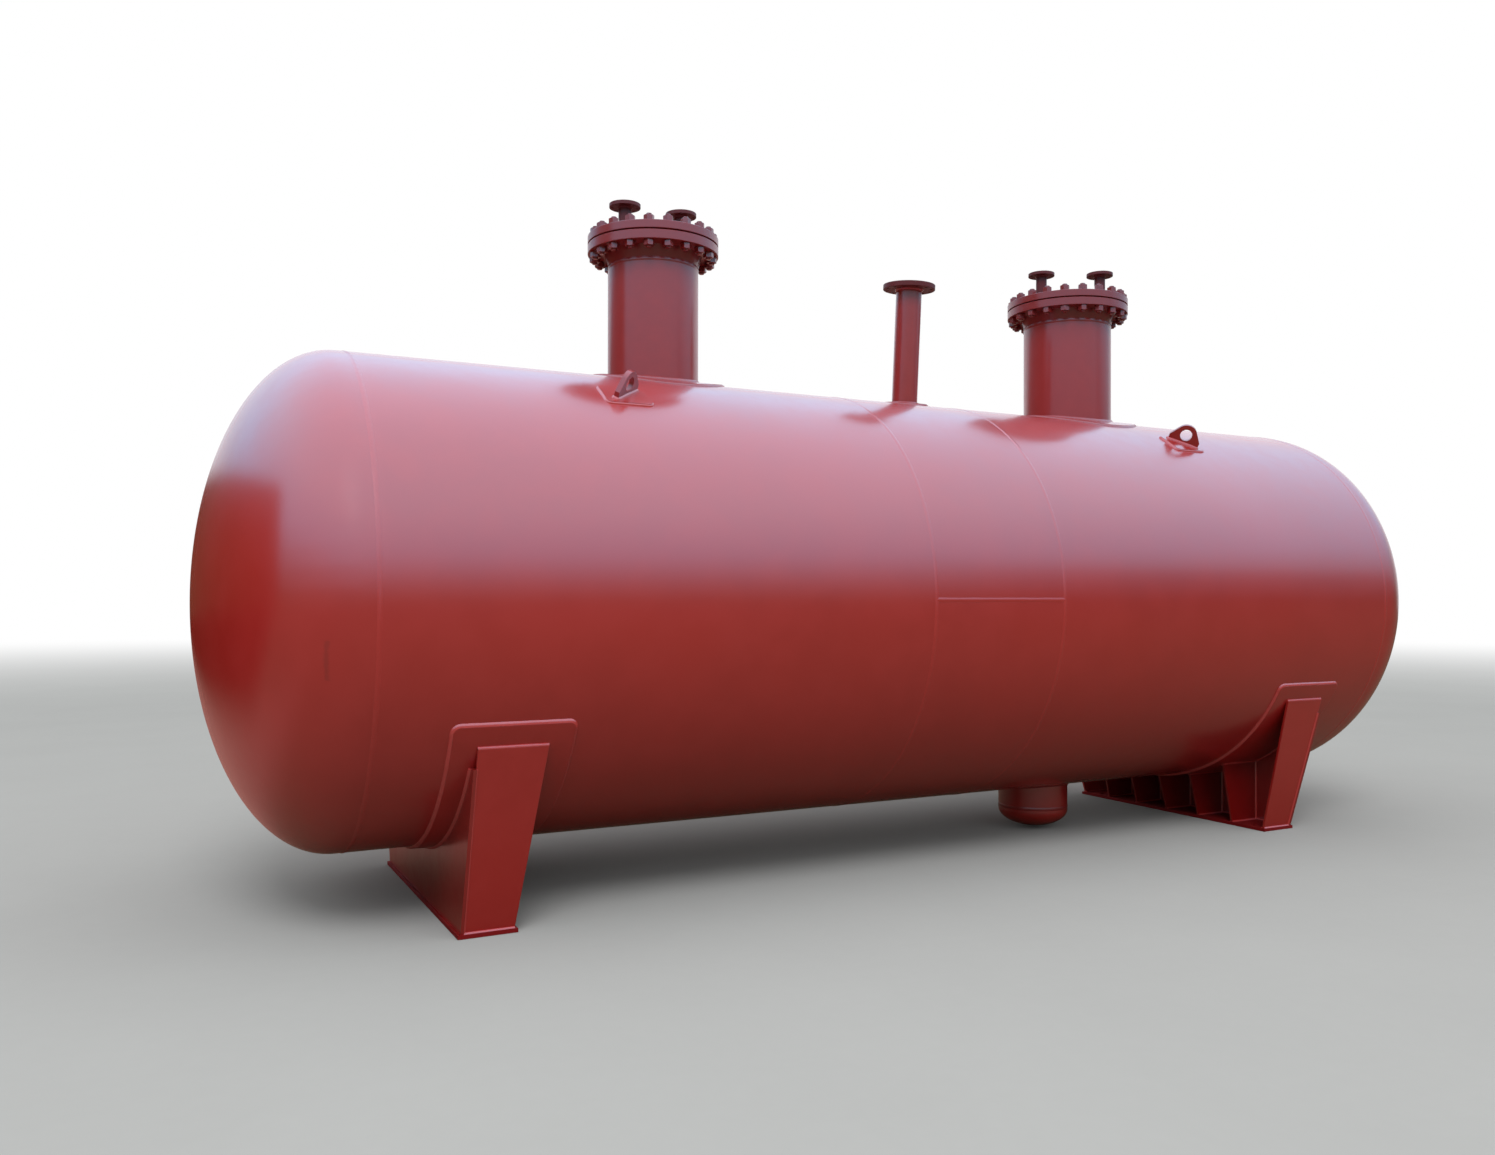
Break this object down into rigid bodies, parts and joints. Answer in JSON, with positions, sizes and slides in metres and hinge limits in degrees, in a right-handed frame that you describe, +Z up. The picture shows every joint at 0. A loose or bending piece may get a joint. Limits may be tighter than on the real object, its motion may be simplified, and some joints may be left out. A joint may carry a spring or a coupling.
{
  "type": "horizontal lpg storage tank",
  "caption": "Horizontal pressure vessel for liquefied petroleum gas with dished ends, on saddles, with tall access necks, a slim nozzle, lifting lugs and a sump.",
  "frame": {"origin": "centre of the bounding box at the underside of the saddle base plates", "axes": "+X along the tank from the smaller access neck to the sump end, +Y from the front side to the back side, +Z up"},
  "size_m": [8.18, 2.5999, 3.996],
  "materials": {
    "shell_paint": "semi-gloss red oxide paint",
    "saddle_paint": "semi-gloss red oxide paint",
    "gasket_sheet": "matt dark sheet"
  },
  "bodies": {
    "root": {"head_left": "shell_paint", "head_right": "shell_paint", "left_access_cover": "shell_paint", "left_access_flange": "shell_paint", "left_access_gasket": "gasket_sheet", "left_access_neck": "shell_paint", "left_access_pad": "shell_paint", "left_cover_nozzle_a": "shell_paint", "left_cover_nozzle_b": "shell_paint", "lug_left_back_pad": "shell_paint", "lug_left_back_plate": "shell_paint", "lug_left_front_pad": "shell_paint", "lug_left_front_plate": "shell_paint", "lug_right_back_pad": "shell_paint", "lug_right_back_plate": "shell_paint", "lug_right_front_pad": "shell_paint", "lug_right_front_plate": "shell_paint", "right_access_cover": "shell_paint", "right_access_flange": "shell_paint", "right_access_gasket": "gasket_sheet", "right_access_neck": "shell_paint", "right_access_pad": "shell_paint", "right_cover_nozzle_a": "shell_paint", "right_cover_nozzle_b": "shell_paint", "saddle_left_back_end_plate": "saddle_paint", "saddle_left_base_plate": "saddle_paint", "saddle_left_front_end_plate": "saddle_paint", "saddle_left_wear_plate": "saddle_paint", "saddle_left_web": "saddle_paint", "saddle_right_back_end_plate": "saddle_paint", "saddle_right_base_plate": "saddle_paint", "saddle_right_front_end_plate": "saddle_paint", "saddle_right_wear_plate": "saddle_paint", "saddle_right_web": "saddle_paint", "shell_course_left": "shell_paint", "shell_course_middle": "shell_paint", "shell_course_right": "shell_paint", "slim_nozzle_flange": "shell_paint", "slim_nozzle_neck": "shell_paint", "slim_nozzle_pad": "shell_paint", "sump_cap": "shell_paint", "sump_pipe": "shell_paint"}
  },
  "joints": []
}
